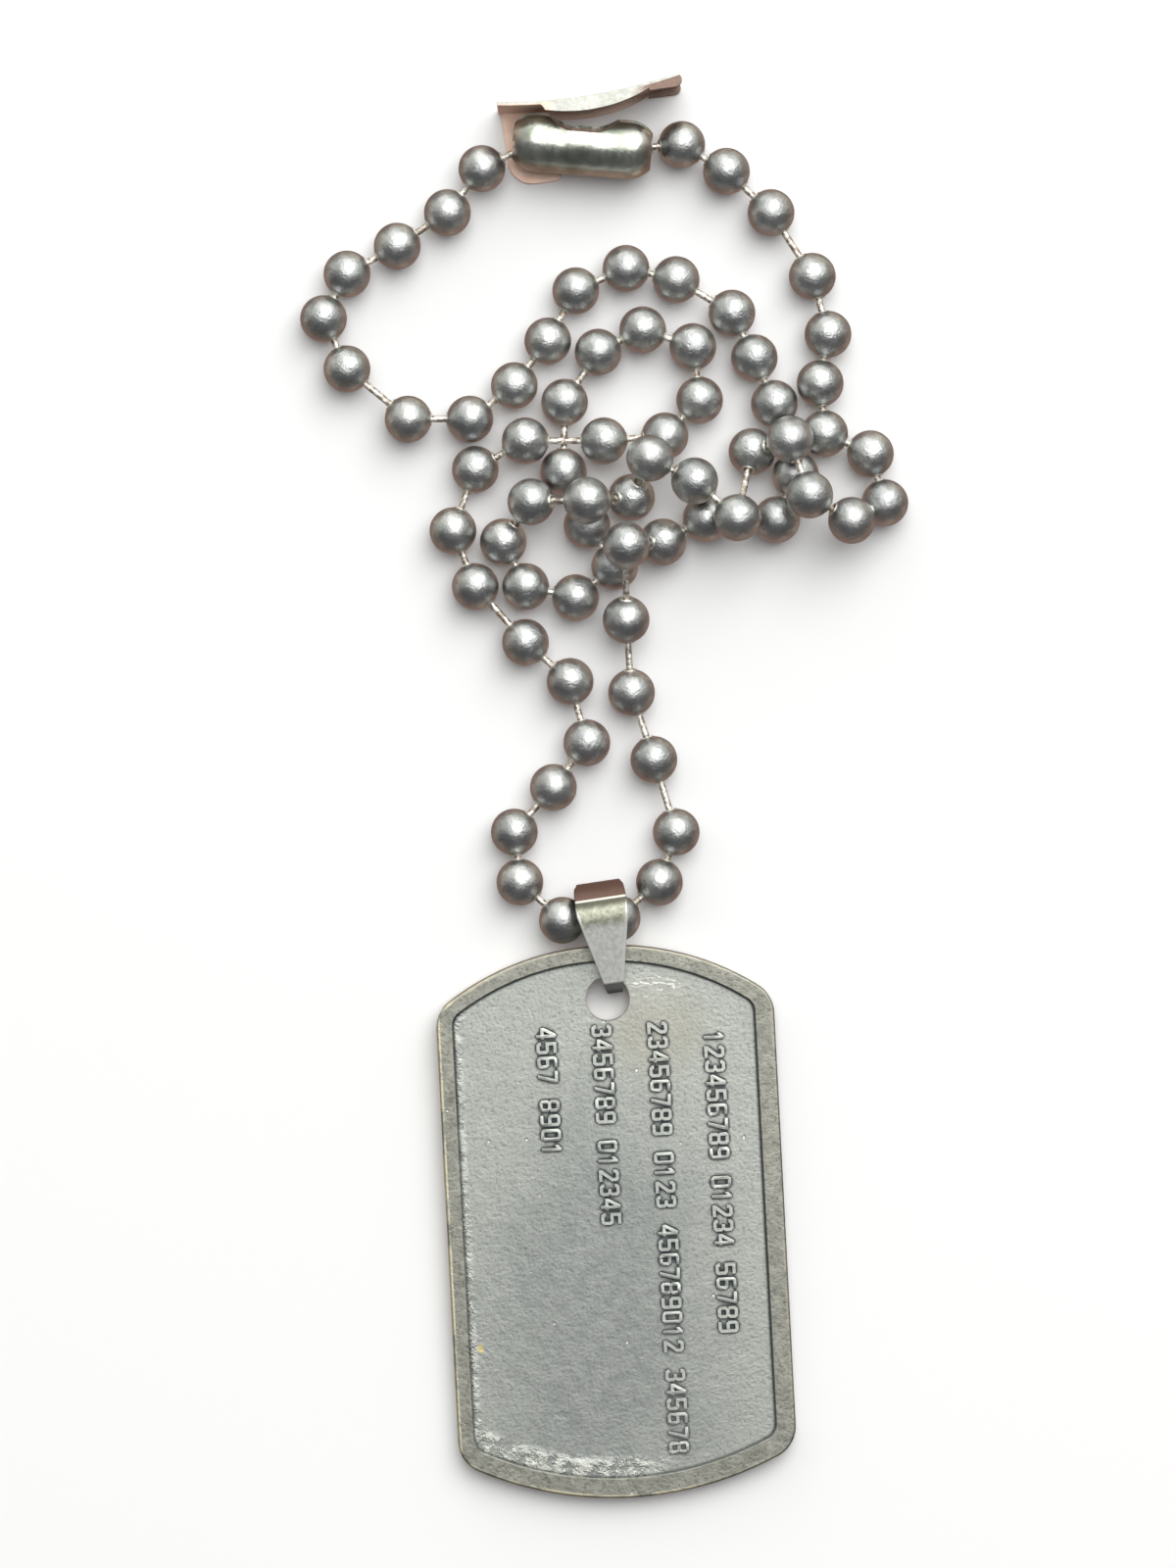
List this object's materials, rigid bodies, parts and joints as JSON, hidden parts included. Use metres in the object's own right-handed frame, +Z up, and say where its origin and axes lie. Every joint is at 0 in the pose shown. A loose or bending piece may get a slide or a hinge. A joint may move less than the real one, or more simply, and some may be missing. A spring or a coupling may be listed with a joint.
{
  "type": "identification tag on a ball chain",
  "caption": "Cast identification tag with a raised rim, on a strip bail and a ball chain with a barrel and lever clasp.",
  "frame": {"origin": "on the surface that it lies on, under the middle of the whole necklace", "axes": "+Z up from the surface, +Y from the tag to the clasp, +X to the right of the picture"},
  "size_m": [0.0545, 0.1272, 0.0082],
  "materials": {
    "cast_metal": "antique silver, cast",
    "satin_steel": "satin",
    "bead_steel": "polished",
    "link_steel": "polished",
    "clasp_steel": "polished"
  },
  "bodies": {
    "necklace": {"tag": "cast_metal", "bail": "satin_steel", "chain_beads": "bead_steel", "chain_links": "link_steel", "clasp_barrel": "clasp_steel"},
    "lever": {"clasp_lever": "clasp_steel"}
  },
  "joints": [
    {"name": "lever_hinge", "type": "hinge", "parent": "necklace", "child": "lever", "pos_m": [-0.00605, 0.05773, 0.0031], "axis": [0, 0, 1], "range_deg": [-12.5, 40]}
  ]
}
